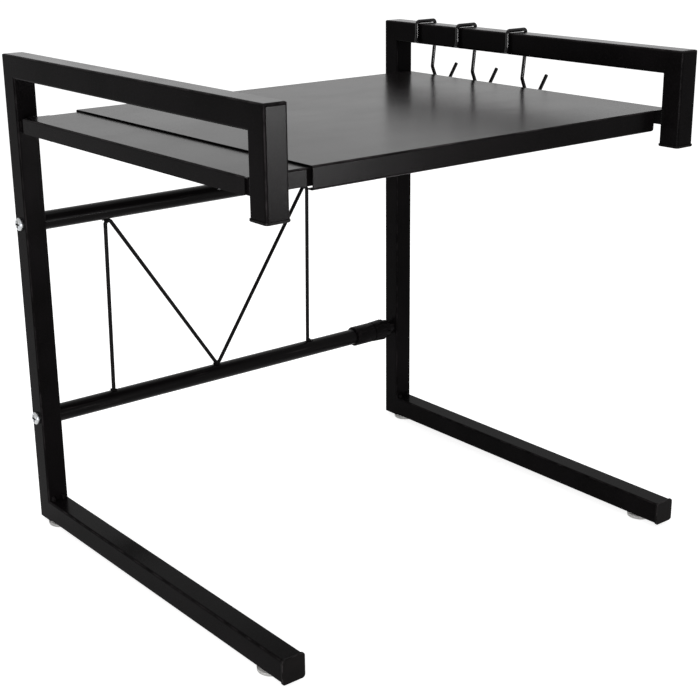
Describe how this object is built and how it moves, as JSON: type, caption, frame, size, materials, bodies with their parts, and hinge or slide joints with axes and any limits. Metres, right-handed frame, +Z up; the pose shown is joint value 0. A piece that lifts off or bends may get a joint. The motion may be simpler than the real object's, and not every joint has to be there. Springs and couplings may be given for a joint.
{
  "type": "microwave stand",
  "caption": "Expanding open metal stand with a sliding two-leaf shelf on C-shaped side frames, telescoping rear tubes, a wire brace and side hooks.",
  "frame": {"origin": "on the floor, under the middle of the outer box", "axes": "+X to the right across the stand, the open front is -Y, +Z up"},
  "size_m": [0.4736, 0.3802, 0.427],
  "materials": {
    "frame_paint": "black satin powder coat",
    "shelf_paint": "black satin powder coat",
    "tube_paint": "black satin powder coat",
    "wire_paint": "black satin powder coat",
    "hook_coat": "glossy black coat",
    "bright_zinc": "bright zinc plate",
    "cap_plastic": "moulded black",
    "collar_plastic": "moulded black",
    "pad_rubber": "translucent light grey"
  },
  "bodies": {
    "left_half": {"left_foot_rail": "frame_paint", "left_upright": "frame_paint", "left_top_rail": "frame_paint", "left_drop_post": "frame_paint", "left_side_bar": "frame_paint", "left_shelf_nuts": "bright_zinc", "left_shelf_screws": "bright_zinc", "left_frame_screws": "bright_zinc", "left_tube_inserts": "bright_zinc", "left_foot_cap": "cap_plastic", "left_post_cap": "cap_plastic", "left_upright_plug": "cap_plastic", "left_foot_pads": "pad_rubber", "left_frame_welds": "frame_paint", "left_shelf_leaf": "shelf_paint", "upper_outer_tube": "tube_paint", "lower_outer_tube": "tube_paint", "upper_lock_sleeve": "collar_plastic", "lower_lock_sleeve": "collar_plastic", "brace_wire": "wire_paint"},
    "right_half": {"right_foot_rail": "frame_paint", "right_upright": "frame_paint", "right_top_rail": "frame_paint", "right_drop_post": "frame_paint", "right_side_bar": "frame_paint", "right_shelf_nuts": "bright_zinc", "right_shelf_screws": "bright_zinc", "right_frame_screws": "bright_zinc", "right_tube_inserts": "bright_zinc", "right_foot_cap": "cap_plastic", "right_post_cap": "cap_plastic", "right_upright_plug": "cap_plastic", "right_foot_pads": "pad_rubber", "right_frame_welds": "frame_paint", "right_shelf_leaf": "shelf_paint", "upper_inner_tube": "tube_paint", "lower_inner_tube": "tube_paint"},
    "upper_lock": {"upper_lock_nut": "collar_plastic"},
    "lower_lock": {"lower_lock_nut": "collar_plastic"},
    "rear_hook": {"rear_hook": "hook_coat"},
    "middle_hook": {"middle_hook": "hook_coat"},
    "front_hook": {"front_hook": "hook_coat"}
  },
  "joints": [
    {"name": "width_slide", "type": "slide", "parent": "left_half", "child": "right_half", "axis": [1, 0, 0], "range_m": [-0.006, 0.18]},
    {"name": "upper_lock_turn", "type": "hinge", "parent": "left_half", "child": "upper_lock", "pos_m": [0.16302, 0.17913, 0.2797], "axis": [1, 0, 0], "range_deg": [0, 90]},
    {"name": "lower_lock_turn", "type": "hinge", "parent": "left_half", "child": "lower_lock", "pos_m": [0.16302, 0.17913, 0.1015], "axis": [1, 0, 0], "range_deg": [0, 90]},
    {"name": "rear_hook_slide", "type": "slide", "parent": "right_half", "child": "rear_hook", "axis": [0, 1, 0], "range_m": [-0.026, 0.026]},
    {"name": "middle_hook_slide", "type": "slide", "parent": "right_half", "child": "middle_hook", "axis": [0, 1, 0], "range_m": [-0.026, 0.026]},
    {"name": "front_hook_slide", "type": "slide", "parent": "right_half", "child": "front_hook", "axis": [0, 1, 0], "range_m": [-0.175, 0.036]}
  ]
}
